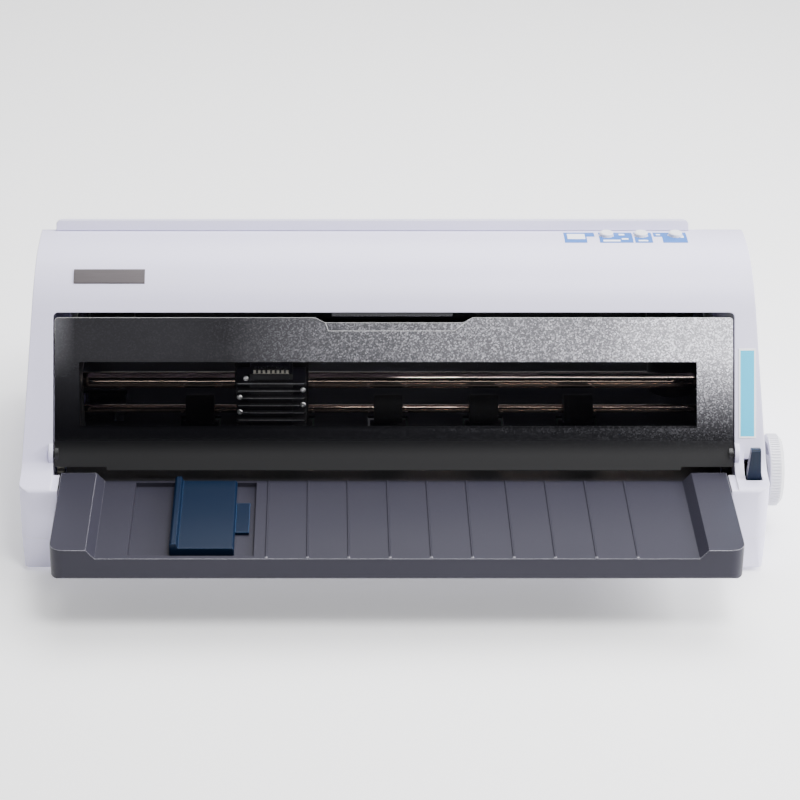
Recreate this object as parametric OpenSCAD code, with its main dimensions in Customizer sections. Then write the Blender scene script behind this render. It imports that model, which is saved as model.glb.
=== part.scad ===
/* [Body] */
// Width of the body across the shoulders
body_w = 444; // [400:1:480]
// Depth of the body from its front face to its rear face
body_d = 236; // [226:1:260]
// Height of the shoulders above the table
shoulder_z = 57; // [54:0.5:60]
// Height of the seam between the lower and the upper case
seam_z = 24; // [20:0.5:28]
// Height of the top of the case
top_z = 168.5; // [164:0.5:176]
// Wall thickness of the mouldings
wall = 2.5; // [2:0.1:3.5]
// Height of the feet
foot_h = 3; // [2:0.5:5]
// Lean of the sides inward for each millimetre of height
side_draft = 0.073; // [0.04:0.001:0.09]

/* [Front cover] */
// Slope of the front cover from the table
cover_slope = 62; // [60:0.5:64]
// Distance of the cover's top edge behind the front face
cover_top_y = 66; // [64:0.5:70]
// Height of the cover's top edge
cover_top_z = 141; // [139:0.5:143]
// Width of the column on each side of the front opening
column_w = 19; // [17:0.5:21]
// Gap between the top of the cover and the case
cover_gap = 3; // [2:0.1:3.5]
// Thickness of the smoked cover
cover_t = 2.4; // [2:0.1:3]
// Depth of the finger notch in the cover's top edge
notch_depth = 3; // [2:0.1:4]

/* [Rear cover] */
// Distance of the rear cover from the left side of the body
rear_margin_left = 17; // [15:0.5:27]
// Distance of the rear cover from the right side of the body
rear_margin_right = 41; // [36:0.5:52]
// Distance of the rear cover's front edge behind the front face
rear_front_y = 127; // [125:0.5:132]
// Distance of the rear cover's hinged edge from the rear face
rear_setback = 31; // [28:0.5:36]
// Height of the rear cover above the case
rear_rise = 6.6; // [5:0.1:8]

/* [Sheet tray] */
// Distance of the tray's ends inside the front opening
tray_inset = 5; // [4:0.5:7]
// How far the tray reaches in front of the body
tray_reach = 69; // [60:1:80]
// Width of the flat top of each wing
wing_w = 21; // [18:0.5:26]
// How far the sheet surface lies below the shoulders
sheet_drop = 5.5; // [5:0.1:6]
// Height of the tray from its underside to the sheet surface
tray_h = 14; // [12.5:0.5:15]
// Distance between the ribs on the sheet surface
rib_pitch = 23.5; // [20:0.5:30]
// Distance of the first rib from the pocket
rib_margin = 7.3; // [5:0.1:12]

/* [Edge guide] */
// Width of the blue edge guide
guide_w = 37; // [30:0.5:40]
// Distance of the edge guide's middle from the pocket's left edge at rest
guide_place = 42; // [41.5:0.5:43]
// Distance of the pocket from the left wing
pocket_margin = 23.5; // [20:0.5:30]
// Width of the pocket for the edge guide
pocket_w = 71.7; // [71:0.1:76]
// Depth of the pocket
pocket_depth = 3; // [2.5:0.1:4]
// Distance of the edge guide behind the tray's front edge
guide_setback = 8; // [7:0.5:12]

/* [Paper feed] */
// Diameter of the platen knob
knob_d = 44; // [40:0.5:48]
// Thickness of the platen knob
knob_t = 8.5; // [8:0.5:12]
// Number of ribs around the knob's rim
knob_ribs = 72; // [36:2:90]
// Distance of the platen bar behind the front face
platen_y = 74; // [72:0.5:75]
// Distance from the platen bar to the axis of each feed roller
roller_spread = 21; // [20:0.5:24]
// Diameter of the front feed roller
front_roller_d = 20.4; // [20:0.1:21]
// Diameter of the rear feed roller
rear_roller_d = 20.4; // [18:0.1:22]
// Diameter of the feed roller shafts
feed_shaft_d = 8; // [6:0.5:9]
// Diameter of the pinch rollers
pinch_d = 18; // [16:0.5:18]
// Width of each pinch roller
pinch_w = 17.5; // [12:0.5:20]
// Number of teeth on the front feed gear
front_teeth = 32; // [30:1:34]
// Number of teeth on the rear feed gear
rear_teeth = 24; // [22:1:26]
// Number of teeth on the idler gear
idler_teeth = 20; // [20:1:22]
// Number of teeth on the feed motor's pinion
pinion_teeth = 18; // [16:1:18]
// Thickness of the gears
gear_t = 4; // [3:0.1:4]

/* [Print carriage] */
// Diameter of the carriage shaft
carriage_shaft_d = 10; // [8:0.5:12]
// Place of the middle of the carriage at rest
carriage_x = -73.5; // [-90:0.5:90]
// Width of the carriage
carriage_w = 45; // [40:0.5:50]
// Number of cooling fins on each side of the print head
fin_count = 7; // [4:1:8]
// Pitch radius of the belt pulleys
pulley_r = 8; // [7:0.5:9]

/* [Controls] */
// Distance of the first button from the right side of the body
button_margin = 92.1; // [90:0.5:97]
// Distance between buttons
button_pitch = 20.9; // [18:0.1:21]
// Diameter of the buttons
button_d = 8; // [6:0.1:9]
// Distance of the buttons in front of the rear cover
button_setback = 10; // [9:0.5:12]
// Travel of the buttons
button_travel = 1.2; // [0.8:0.1:1.5]

/* [Hidden] */
$fn = 48;

// Running and seating clearances
run = 0.05;
seat = 0.3;
gap = 1;
eps = 0.01;

// Whole-part frame: middle of the overall box, on the table
side_x = body_w/2;
knob_x0 = side_x + 5;
knob_x1 = knob_x0 + knob_t;
part_mid_x = (knob_x1 - side_x)/2;
part_mid_y = (body_d - tray_reach)/2;

// ---------- helpers ----------

function unit(v) = v/norm(v);

// Points of an arc about c from angle a to angle b
function arc(c, r, a, b, n = 8) = [for (i = [0:n]) c + r*[cos(a + (b - a)*i/n), sin(a + (b - a)*i/n)]];

// Points of a quadratic curve from p to r, drawn to q
function curve(p, q, r, n = 10) = [for (i = [0:n]) let (t = i/n) (1 - t)*(1 - t)*p + 2*t*(1 - t)*q + t*t*r];

// A closed anticlockwise outline moved inward by t
function inset(p, t) = let (n = len(p)) [for (i = [0:n - 1])
    let (d1 = unit(p[i] - p[(i + n - 1) % n]), d2 = unit(p[(i + 1) % n] - p[i]),
         n1 = [-d1[1], d1[0]], n2 = [-d2[1], d2[0]], m = unit(n1 + n2)) p[i] + m*t/(m*n1)];

// Rounds corner q of a path coming from p and going to r
function fillet(p, q, r, rad, n = 6) =
    let (u = unit(p - q), v = unit(r - q), half = acos(u*v)/2, d = rad/tan(half),
         c = q + unit(u + v)*rad/sin(half), a0 = q + u*d - c, b0 = q + v*d - c,
         a = atan2(a0[1], a0[0]), sweep = atan2(a0[0]*b0[1] - a0[1]*b0[0], a0*b0))
    [for (i = [0:n]) c + rad*[cos(a + sweep*i/n), sin(a + sweep*i/n)]];

// Extrudes a (y, z) outline along x
module along_x(x0, x1) {
    translate([x0, 0, 0]) rotate([90, 0, 90]) linear_extrude(x1 - x0) children();
}

// Extrudes an (x, z) outline along y
module along_y(y0, y1) {
    translate([0, y1, 0]) rotate([90, 0, 0]) linear_extrude(y1 - y0) children();
}

// Cylinder along x about (y, z)
module rod_x(x0, x1, y, z, r) {
    translate([x0, y, z]) rotate([0, 90, 0]) cylinder(h = x1 - x0, r = r);
}

// Box from its lowest to its highest corner
module block(a, b) {
    translate(a) cube(b - a);
}

// Repeats a form on the other side of the middle
module mirrored() {
    children();
    mirror([1, 0, 0]) children();
}

// Rectangle with rounded corners, from its lowest to its highest corner
module round_rect(a, b, r) {
    p = [[b[0] - r, a[1] + r], [b[0] - r, b[1] - r], [a[0] + r, b[1] - r], [a[0] + r, a[1] + r]];
    polygon([for (i = [0:3]) each arc(p[i], r, -90 + 90*i, 90*i, 5)]);
}

// Moves the body's own frame into the part's frame
module place() {
    translate([-part_mid_x, -part_mid_y, 0]) children();
}

// ---------- case outline ----------

cover_dir = [cos(cover_slope), sin(cover_slope)];
cover_top = [cover_top_y, cover_top_z];
// Foot of the slope on the shoulder
slope_foot = cover_top - cover_dir*(cover_top_z - shoulder_z)/cover_dir[1];
opening_half = side_x - column_w;
tray_half = opening_half - tray_inset;
wing_half = tray_half - wing_w;
sheet_z = shoulder_z - sheet_drop;
tray_under_z = sheet_z - tray_h;
crest_y = 110;
rear_slope = 33;
crest_end = [130, top_z];
rear_dir = [cos(rear_slope), -sin(rear_slope)];
rear_corner = crest_end + rear_dir*(body_d - crest_end[0])/rear_dir[0];
crest_ctrl = cover_top + cover_dir*(top_z - cover_top_z - 2.5)/cover_dir[1];

// Side view of the body, anticlockwise from the lower front corner
case_side = concat([[0, seam_z], [body_d, seam_z]],
    fillet([body_d, seam_z], rear_corner, crest_end, 16),
    curve(crest_end + rear_dir*20, crest_end, [crest_y, top_z]),
    curve([crest_y - 1, top_z - 0.02], [crest_ctrl[0], top_z - 2], cover_top),
    fillet(cover_top, slope_foot, [0, shoulder_z], 14),
    fillet(slope_foot, [0, shoulder_z], [0, seam_z], 3.5, 4));

function half_w(z) = side_x - side_draft*max(0, z - shoulder_z);

// Distance of the slope's face behind the front face at a height
function slope_y(z) = slope_foot[0] + (z - shoulder_z)/tan(cover_slope);

// Radius of the body's upright corners
corner_r = 8;

// Front view of the upper case inside its walls by t
function case_front(t) = let (h = top_z + 6 - t, w = half_w(h) - t, c = 9)
    concat([[t - side_x, seam_z - eps], [side_x - t, seam_z - eps], [side_x - t, shoulder_z]],
        fillet([side_x - t, shoulder_z], [w, h], [-w, h], c),
        fillet([w, h], [-w, h], [t - side_x, shoulder_z], c), [[t - side_x, shoulder_z]]);

// Solid form of the upper body inside its walls by t
module case_form(t) {
    intersection() {
        along_x(-side_x, side_x) polygon(inset(case_side, t));
        along_y(0, body_d) polygon(case_front(t));
        translate([0, 0, seam_z - 1]) linear_extrude(top_z + 10)
            round_rect([t - side_x, t], [side_x - t, body_d - t], corner_r - t);
    }
}

// ---------- casings ----------

// Raises the upper points of an outline past the seam, to open it
function open_top(p) = [for (q = p) [q[0], q[1] > seam_z/2 ? seam_z + 1 : q[1]]];

pan_z = foot_h + wall + 2.5;
pan_t = 1.4;
pan_bosses = [for (x = [-1, 0, 1], y = [60, body_d - 46]) [x*(side_x - 52), y]];
base_taper = 1.5;

// Lower case as a solid form inside its walls by t, open at the seam if t is above 0
module base_form(t) {
    side = [[base_taper, foot_h], [body_d - base_taper, foot_h], [body_d, seam_z], [0, seam_z]];
    front = [[base_taper - side_x, foot_h], [side_x - base_taper, foot_h],
        [side_x, seam_z], [-side_x, seam_z]];
    intersection() {
        along_x(-side_x, side_x) polygon(t > 0 ? open_top(inset(side, t)) : side);
        along_y(0, body_d) polygon(t > 0 ? open_top(inset(front, t)) : front);
        linear_extrude(seam_z + 5) round_rect([t - side_x, t], [side_x - t, body_d - t], corner_r - t);
    }
}

module lower_case() {
    vent_half = 22;
    vent_pitch = 4;
    vent_w = 1.6;
    vent_y = [body_d - 86, body_d - 46];
    color("gainsboro") place() {
        for (p = pan_bosses) translate([p[0], p[1], foot_h + wall - eps])
            cylinder(h = pan_z - foot_h - wall + eps, r = 5);
        difference() {
            base_form(0);
            base_form(wall);
            for (i = [0:11], s = [-1, 1]) translate([s*(side_x - 72) - vent_half + i*vent_pitch, 0, 0])
                block([0, vent_y[0], foot_h - 1], [vent_w, vent_y[1], foot_h + wall + 1]);
            for (p = foot_places) translate([p[0], p[1], foot_h - eps]) cylinder(h = 1, r = foot_r + seat);
        }
    }
}

foot_r = 7;
foot_places = [for (x = [-1, 1], y = [26, body_d - 26]) [x*(side_x - 34), y]];

module feet() {
    color("dimgray") place() for (p = foot_places) translate([p[0], p[1], 0]) {
        translate([0, 0, 1 - eps]) cylinder(h = foot_h, r = foot_r);
        cylinder(h = 1, r1 = foot_r - 0.8, r2 = foot_r);
    }
}

hinge_z = shoulder_z + 8;
hinge_y = slope_y(hinge_z) + 3.41;
hinge_r = 2;
opening_r = 3;
tray_back = 20.5;

// Side view of what the front opening takes out of the case
opening_side = [[-5, shoulder_z - 1], [slope_foot[0] + 30.7, shoulder_z - 1], cover_at(20, 10),
    cover_at(0, 10), cover_at(0, -9), [-5, cover_top_z]];
lever_x0 = side_x - 13.6;
lever_x1 = side_x - 3.6;
lever_slot_y = 11.4;
rear_left = rear_margin_left - side_x;
rear_right = side_x - rear_margin_right;
rear_back_y = body_d - rear_setback;
button_y = rear_front_y - button_setback;
button_x = side_x - button_margin;
lid_point = [rear_back_y, top_z - (rear_back_y - crest_end[0])*tan(rear_slope)];
lid_normal = [-rear_dir[1], rear_dir[0]];
knuckle_r = 2.2;
lid_axis = lid_point + lid_normal*(seat + knuckle_r);
lid_pin_r = 1.1;
lid_pin_reach = 6;
knuckle_w = 14;
knuckle_places = [for (t = [0.12, 0.5, 0.88]) rear_left + (rear_right - rear_left)*t];
paper_exit_z = sheet_z - 1.5;
paper_exit_h = 14;
paper_exit_half = side_x - 32;
port_z = seam_z + 3;
inlet_x = [32 - side_x, 62 - side_x];
inlet_h = 20;
ports_x = [side_x - 92, side_x - 30];
ports_h = 15;
vent_z = rear_corner[1] - 23.7;

// Extrudes a (y, z) outline along x on both sides, between two distances from the middle
module both_sides(x0, x1) {
    for (s = [-1, 1]) along_x(min(s*x0, s*x1), max(s*x0, s*x1)) children();
}

// Slab square to the slope, with rounded upper corners a distance s down it
module slope_slab(half, s, r) {
    reach = 60;
    translate([0, cover_top_y, cover_top_z]) rotate([cover_slope, 0, 0]) translate([0, 0, -reach])
        linear_extrude(2*reach) round_rect([-half, -150], [half, -s], r);
}

// Turned-in edges of the columns, and pads that carry the cover's pins
module column_returns() {
    both_sides(opening_half, opening_half + wall) intersection() {
        difference() {
            polygon(inset(case_side, 0.5));
            translate([14, -7]) polygon(case_side);
        }
        polygon([[0, 30], [cover_top_y - 2, 30], [cover_top_y + 6, top_z], [0, top_z]]);
    }
    both_sides(opening_half, opening_half + wall) translate([hinge_y + 1, hinge_z]) circle(7);
}

// Rectangle about the rear cover's hinge, along the rear slope and square to it
function at_lid(a0, a1, n0, n1) = [for (q = [[a0, n1], [a0, n0], [a1, n0], [a1, n1]])
    lid_axis + rear_dir*q[0] + lid_normal*q[1]];

module lid_knuckles() {
    for (x = knuckle_places) {
        rod_x(x - knuckle_w/2, x + knuckle_w/2, lid_axis[0], lid_axis[1], knuckle_r);
        along_x(x - knuckle_w/2, x + knuckle_w/2) polygon(at_lid(-knuckle_r, knuckle_r, -knuckle_r - 1.2, 0));
        rod_x(x - knuckle_w/2 - lid_pin_reach, x + knuckle_w/2 + lid_pin_reach, lid_axis[0], lid_axis[1],
            lid_pin_r);
    }
}

switch_y = 40;
switch_z = seam_z + 16;
switch_size = [20, 12];
switch_pivot_x = 6 - side_x;
switch_pivot_r = 1.5;
lug_t = 2.2;

// Lugs behind the left wall that carry the rocker's pivot
module switch_lugs() {
    for (z = [switch_z - 6.2 - lug_t, switch_z + 6.2]) difference() {
        block([wall - 0.2 - side_x, switch_y - 4, z], [switch_pivot_x + 3.5, switch_y + 4, z + lug_t]);
        translate([switch_pivot_x, switch_y, z - 1]) cylinder(h = lug_t + 2, r = switch_pivot_r + run);
    }
}

module upper_case() {
    color("ghostwhite") place() {
        difference() {
            union() {
                difference() {
                    case_form(0);
                    case_form(wall);
                    block([wall - side_x, wall, seam_z - 2], [side_x - wall, body_d - wall, seam_z + 4]);
                    // Front opening, and the notch that takes the tray
                    intersection() {
                        along_x(-opening_half, opening_half) polygon(opening_side);
                        slope_slab(opening_half, 0, opening_r);
                    }
                    block([-tray_half - gap, -5, tray_under_z],
                        [tray_half + gap, tray_back + 19.5, shoulder_z + 5]);
                }
                column_returns();
                // Finger tab behind the cover's notch
                along_x(4 - notch_foot, notch_foot - 6) polygon([cover_at(-1.5, 0.6), cover_at(-1.5, wall),
                    cover_at(2.2, wall), cover_at(2.2, 0.9)]);
            }
            // Access to the tractors under the rear cover
            block([rear_left + 14, rear_front_y + 12, top_z - 68],
                [rear_right - 14, rear_back_y - 14, top_z + 5]);
            // Paper exit through the rear wall
            block([-paper_exit_half, body_d - 10, paper_exit_z],
                [paper_exit_half, body_d + 1, paper_exit_z + paper_exit_h]);
            // Lever slot in the right shoulder
            block([lever_x0, lever_slot_y, shoulder_z - 6], [lever_x1, lever_slot_y + 15.6, shoulder_z + 11]);
            // Knob shaft
            rod_x(side_x - 6, side_x + 2, front_roller[0], front_roller[1], feed_shaft_d/2 + 0.8);
            // Pins of the front cover
            rod_x(-opening_half - wall - 1, opening_half + wall + 1, hinge_y, hinge_z, hinge_r + run);
            for (i = [0:2]) translate([button_x + i*button_pitch, button_y, top_z - 12])
                cylinder(h = 20, r = button_d/2 + 0.2);
            // Mains inlet and interface ports in the rear wall
            block([inlet_x[0], body_d - 5, port_z], [inlet_x[1], body_d + 1, port_z + inlet_h]);
            block([ports_x[0], body_d - 5, port_z], [ports_x[1], body_d + 1, port_z + ports_h]);
            // Power switch in the left wall
            translate([-side_x, switch_y, switch_z])
                cube([2*wall + 2, switch_size[0], switch_size[1]], center = true);
            // Cooling slots in the rear wall
            for (i = [0:9], j = [0, 1]) translate([12*i - 60, body_d - 5, vent_z + 9*j]) cube([8, 6, 3.5]);
        }
        lid_knuckles();
        switch_lugs();
    }
}

// ---------- covers ----------

notch_top = 49;
notch_foot = 41;
scoop_h = 5;
scoop_depth = 0.9;

// A point of the cover's outer face, a distance s down the slope and t in from it
function cover_at(s, t) = cover_top - cover_dir*s + [cover_dir[1], -cover_dir[0]]*t;

cover_bend_s = (cover_top_z - shoulder_z - 13)/cover_dir[1];
lip_foot = [slope_foot[0] - 0.34, shoulder_z + 1.5];
skirt_depth = 6.5;
ear_r = 5;

module cover_outline(t0, t1) {
    polygon([cover_at(cover_gap, t0), cover_at(cover_gap, t1), cover_at(cover_bend_s, t1),
        lip_foot + [t1, 0.3], lip_foot + [t0, 0], cover_at(cover_bend_s, t0) + [-0.6, 0]]);
}

// Finger notch and the scoop below it, seen square to the slope
module notch_cut() {
    low = -cover_gap - notch_depth;
    translate([0, cover_top_y, cover_top_z]) rotate([cover_slope, 0, 0]) {
        translate([0, 0, -10]) linear_extrude(20) polygon([[-notch_top, 1 - cover_gap], [-notch_foot, low],
            [notch_foot, low], [notch_top, 1 - cover_gap]]);
        translate([0, 0, -scoop_depth]) linear_extrude(5) polygon([[-notch_foot, low + 1],
            [2 - notch_foot, low - scoop_h], [notch_foot - 5, low - scoop_h], [notch_foot + 3, low + 1]]);
    }
}

module front_cover() {
    half = opening_half - gap;
    wing_cut = wing_half - 6;
    color([0.12, 0.12, 0.14, 0.75]) place() {
        difference() {
            intersection() {
                union() {
                    along_x(-half, half) cover_outline(0, cover_t);
                    both_sides(half - cover_t, half) cover_outline(0, skirt_depth);
                }
                slope_slab(half, cover_gap, opening_r - gap);
            }
            notch_cut();
            // The lip stands over the tray's wings
            both_sides(wing_cut, half + 1)
                translate([slope_foot[0] - 11.3, shoulder_z - 7]) square([30, 10.2]);
        }
        // Hinge ears and pins
        both_sides(half - cover_t, half) translate([hinge_y, hinge_z]) circle(ear_r);
        both_sides(half - eps, opening_half + wall) translate([hinge_y, hinge_z]) circle(hinge_r);
    }
}

// Band over the case skin between two heights, within the rear cover's edges less m
module lid_band(low, high, m) {
    p = lid_axis - rear_dir*m;
    front = rear_front_y + m;
    lean = 5;
    intersection() {
        difference() {
            polygon(inset(case_side, -high));
            polygon(inset(case_side, -low));
        }
        polygon([[front, top_z - 48], [front, top_z - 1.5], [front + lean, top_z + rear_rise + 1],
            p + lid_normal*20, p - lid_normal*20]);
    }
}

// Wedge that slants the rear cover's ends
module lid_ends() {
    slant = 4;
    foot = 1.5;
    over = 1 + slant/(rear_rise - foot);
    high = foot + (rear_rise - foot)*over;
    translate([0, crest_end[0], crest_end[1]]) rotate([-rear_slope, 0, 0]) along_y(-60, body_d)
        polygon([[rear_left, -40], [rear_right, -40], [rear_right, foot], [rear_right - slant*over, high],
            [rear_left + slant*over, high], [rear_left, foot]]);
}

module rear_cover() {
    color("whitesmoke") place() difference() {
        union() {
            intersection() {
                difference() {
                    along_x(rear_left, rear_right) lid_band(seat, rear_rise, 0);
                    along_x(rear_left + 2*wall, rear_right - 2*wall) lid_band(-1, rear_rise - 2, wall);
                }
                lid_ends();
            }
            rod_x(rear_left, rear_right, lid_axis[0], lid_axis[1], knuckle_r);
        }
        for (x = knuckle_places) {
            along_x(x - knuckle_w/2 - seat, x + knuckle_w/2 + seat) polygon(at_lid(-7, 6, -6, 8));
            rod_x(x - knuckle_w/2 - lid_pin_reach - 0.5, x + knuckle_w/2 + lid_pin_reach + 0.5,
                lid_axis[0], lid_axis[1], lid_pin_r + run);
        }
    }
}

// ---------- sheet tray ----------

bevel_w = 5;
tray_corner = 8;
rib_h = 0.4;
rib_w = 1;
pocket_left = pocket_margin - wing_half;
pocket_right = pocket_left + pocket_w;
guide_x = pocket_left + guide_place;
guide_y0 = guide_setback - tray_reach;
guide_y1 = tray_back - 3.5;
pocket_y0 = guide_y0 - 4.5;
pocket_y1 = guide_y1 + 1.5;
rib_left_x = pocket_right + rib_margin;
rib_count = floor((wing_half - bevel_w - 20 - rib_left_x)/rib_pitch) + 1;
web_pitch = 24;

module sheet_tray() {
    wing_x = wing_half - bevel_w;
    web_count = floor((tray_half - 10)/web_pitch);
    // Front view: wings at shoulder height, the sheet surface between them
    profile = [[-tray_half, tray_under_z], [tray_half, tray_under_z], [tray_half, shoulder_z],
        [wing_half, shoulder_z], [wing_x, sheet_z], [-wing_x, sheet_z], [-wing_half, shoulder_z],
        [-tray_half, shoulder_z]];
    color([0.33, 0.33, 0.38]) place() difference() {
        union() {
            intersection() {
                along_y(-tray_reach, tray_back) polygon(profile);
                linear_extrude(2*shoulder_z) polygon(concat([[tray_half, tray_back], [-tray_half, tray_back]],
                    fillet([-tray_half, 0], [-tray_half, -tray_reach], [0, -tray_reach], tray_corner),
                    fillet([0, -tray_reach], [tray_half, -tray_reach], [tray_half, 0], tray_corner)));
                along_x(-tray_half, tray_half) polygon([[1.5 - tray_reach, tray_under_z],
                    [tray_back, tray_under_z], [tray_back, shoulder_z + 5], [-tray_reach, shoulder_z + 5],
                    [-tray_reach, tray_under_z + 1.5]]);
            }
            for (i = [0:rib_count - 1]) translate([rib_left_x + i*rib_pitch - rib_w/2, 0, 0])
                block([0, 1.2 - tray_reach, sheet_z - 1], [rib_w, tray_back, sheet_z + rib_h]);
        }
        // Hollow underside with webs across it
        difference() {
            block([wall - tray_half, wall - tray_reach, tray_under_z - 1],
                [tray_half - wall, tray_back - wall, sheet_z - pocket_depth - wall]);
            for (i = [-web_count:web_count]) block([i*web_pitch - 0.8, -tray_reach, tray_under_z - 2],
                [i*web_pitch + 0.8, tray_back + 1, sheet_z]);
        }
        block([pocket_left, pocket_y0, sheet_z - pocket_depth], [pocket_right, pocket_y1, sheet_z + 5]);
    }
}

module edge_guide() {
    x0 = guide_x - guide_w/2;
    x1 = guide_x + guide_w/2;
    floor_z = sheet_z - pocket_depth + seat;
    top = sheet_z + 2.2;
    fence_h = 3;
    tongue_half = 16.7;
    tongue_y = (guide_y0 + guide_y1)/2 + 1;
    color([0.08, 0.16, 0.32]) place() {
        // Plate with the fence that the sheet's edge runs along
        along_y(guide_y0, guide_y1)
            polygon([[x0, floor_z], [x1, floor_z], [x1, top - 1], [x1 - 1, top], [x0 + 5, top],
                [x0 + 4, top + fence_h], [x0 + 1.2, top + fence_h], [x0, top + fence_h - 1.2]]);
        // Tongue that runs in the pocket
        block([guide_x, tongue_y - tongue_half, floor_z], [x1 + 8, tongue_y + tongue_half, sheet_z - 1]);
    }
}

// ---------- frame of the mechanism ----------

frame_x = opening_half - 6.6;
frame_t = 1.6;
frame_back = body_d - 31;
table_z = sheet_z - 0.5;
table_t = 1.6;
// How far the rubber sleeves stand through the paper table
sleeve_proud = 0.2;
front_roller_r = front_roller_d/2;
rear_roller_r = rear_roller_d/2;
front_roller = [platen_y - roller_spread, table_z + sleeve_proud - front_roller_r];
rear_roller = [platen_y + roller_spread, table_z + sleeve_proud - rear_roller_r];
rear_pinch_r = pinch_d/2;
front_pinch_r = rear_pinch_r - 2;
pinch_shaft_r = 2.5;
front_pinch = [front_roller[0], sheet_z + front_pinch_r];
rear_pinch = [rear_roller[0], sheet_z + rear_pinch_r];
roller_places = [-118, -60, -2, 57, 115];
roller_w = 22;
// The carriage runs on its shaft above the rear pinch rollers
bush_r = carriage_shaft_d/2 + 4.5;
shaft_y = platen_y + 22;
shaft_z = rear_pinch[1] + rear_pinch_r + gap + bush_r;
rail_z = shaft_z + 12.3;
rail_t = 1.8;
rail_y = [shaft_y + 18, shaft_y + 46];
ribbon_z = sheet_z + 0.8;
pulley_x = frame_x - 20.4;
pulley_y = shaft_y + 26;

// Gear train on the left side
mesh_gap = 0.25;
axis_span = norm(rear_roller - front_roller);
tooth = (axis_span + 0.4 - 2*mesh_gap)*2/(front_teeth + rear_teeth + 2*idler_teeth);
front_mesh = (front_teeth + idler_teeth)*tooth/2 + mesh_gap;
rear_mesh = (rear_teeth + idler_teeth)*tooth/2 + mesh_gap;
pinion_mesh = (rear_teeth + pinion_teeth)*tooth/2 + mesh_gap;
along = (front_mesh*front_mesh - rear_mesh*rear_mesh + axis_span*axis_span)/(2*axis_span);
across = sqrt(front_mesh*front_mesh - along*along);
span_dir = unit(rear_roller - front_roller);
idler_at = front_roller + span_dir*along + [span_dir[1], -span_dir[0]]*across;
pinion_angle = -15;
pinion_at = rear_roller + pinion_mesh*[cos(pinion_angle), sin(pinion_angle)];

function direction(a, b) = atan2(b[1] - a[1], b[0] - a[0]);

// Turn of gear b that meshes with gear a turned by ta
function meshed(a, b, ta, na, nb) = let (f = direction(a, b)) f + 180 - (ta - f)*na/nb + 180/nb;

front_turn = 0;
idler_turn = meshed(front_roller, idler_at, front_turn, front_teeth, idler_teeth);
rear_turn = meshed(idler_at, rear_roller, idler_turn, idler_teeth, rear_teeth);
pinion_turn = meshed(rear_roller, pinion_at, rear_turn, rear_teeth, pinion_teeth);
gear_x1 = -frame_x - frame_t - 0.6;
gear_x0 = gear_x1 - gear_t;

function polar(r, a) = r*[cos(a), sin(a)];

module gear(at, n, turn, bore, spokes = 0) {
    r = n*tooth/2;
    step = 360/n;
    tooth_form = [[-0.27, -1.15], [-0.1, 0.85], [0.1, 0.85], [0.27, -1.15]];
    color("ivory") place() difference() {
        along_x(gear_x0, gear_x1) translate(at)
            polygon([for (i = [0:n - 1], q = tooth_form) polar(r + q[1]*tooth, turn + (i + q[0])*step)]);
        if (bore > 0) rod_x(gear_x0 - 1, gear_x1 + 1, at[0], at[1], bore);
        if (spokes > 0) for (k = [0:spokes - 1])
            translate([0, polar(r*0.58, 360*k/spokes)[0], polar(r*0.58, 360*k/spokes)[1]])
                rod_x(gear_x0 - 1, gear_x1 + 1, at[0], at[1], r*0.2);
    }
}

idler_pin_r = 3;
pinion_shaft_r = 2;
frame_side = [[platen_y - 36, pan_z], [frame_back, pan_z], [frame_back, sheet_z + 14.5],
    [frame_back - 17, shaft_z + 12], [shaft_y + 54, shaft_z + 32], [shaft_y - 12, shaft_z + 36],
    [platen_y - 10, shaft_z + 18], [platen_y - 32, sheet_z + 14.5]];

module side_frame(s) {
    x0 = s > 0 ? frame_x : -frame_x - frame_t;
    bores = [[front_roller, feed_shaft_d/2 + run], [rear_roller, feed_shaft_d/2 + run],
        [front_pinch, pinch_shaft_r + run], [rear_pinch, pinch_shaft_r + run],
        [[shaft_y, shaft_z], carriage_shaft_d/2]];
    color("silver") place() difference() {
        along_x(x0, x0 + frame_t) polygon(frame_side);
        for (q = bores) rod_x(x0 - 1, x0 + frame_t + 1, q[0][0], q[0][1], q[1]);
        if (s < 0) rod_x(x0 - 1, x0 + frame_t + 1, pinion_at[0], pinion_at[1], pinion_shaft_r + 1);
        // Lightening holes
        along_x(x0 - 1, x0 + frame_t + 1)
            round_rect([frame_back - 55, pan_z + 8], [frame_back - 15, sheet_z - 11.5], 5);
        along_x(x0 - 1, x0 + frame_t + 1)
            round_rect([shaft_y + 28, sheet_z + 14.5], [shaft_y + 70, shaft_z + 4], 5);
    }
    // Stub that carries the idler gear
    if (s < 0) color("silver") place()
        rod_x(gear_x0, -frame_x - frame_t, idler_at[0], idler_at[1], idler_pin_r);
}

module left_side_frame() { side_frame(-1); }
module right_side_frame() { side_frame(1); }

module frame_pan() {
    pan_y = [platen_y - 34, frame_back - 1];
    hem = 9;
    color("lightgray") place() difference() {
        union() {
            block([-frame_x, pan_y[0], pan_z], [frame_x, pan_y[1], pan_z + pan_t]);
            for (y = [pan_y[0], pan_y[1] - pan_t])
                block([-frame_x, y, pan_z], [frame_x, y + pan_t, pan_z + hem]);
        }
        for (i = [-3:3]) translate([i*50, platen_y - 12, pan_z - 1]) block([-15, 0, 0], [15, 12, pan_t + 2]);
    }
}

platen_half = frame_x - 11.4;
platen_w = 13;
platen_low = sheet_z - 11.5;

module platen_bar() {
    color([0.2, 0.2, 0.22]) place() translate([0, platen_y, 0]) difference() {
        block([-platen_half, -platen_w/2, platen_low], [platen_half, platen_w/2, table_z]);
        block([4 - platen_half, 2.5 - platen_w/2, platen_low - 1],
            [platen_half - 4, platen_w/2 - 2.5, table_z - 3]);
    }
}

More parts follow.
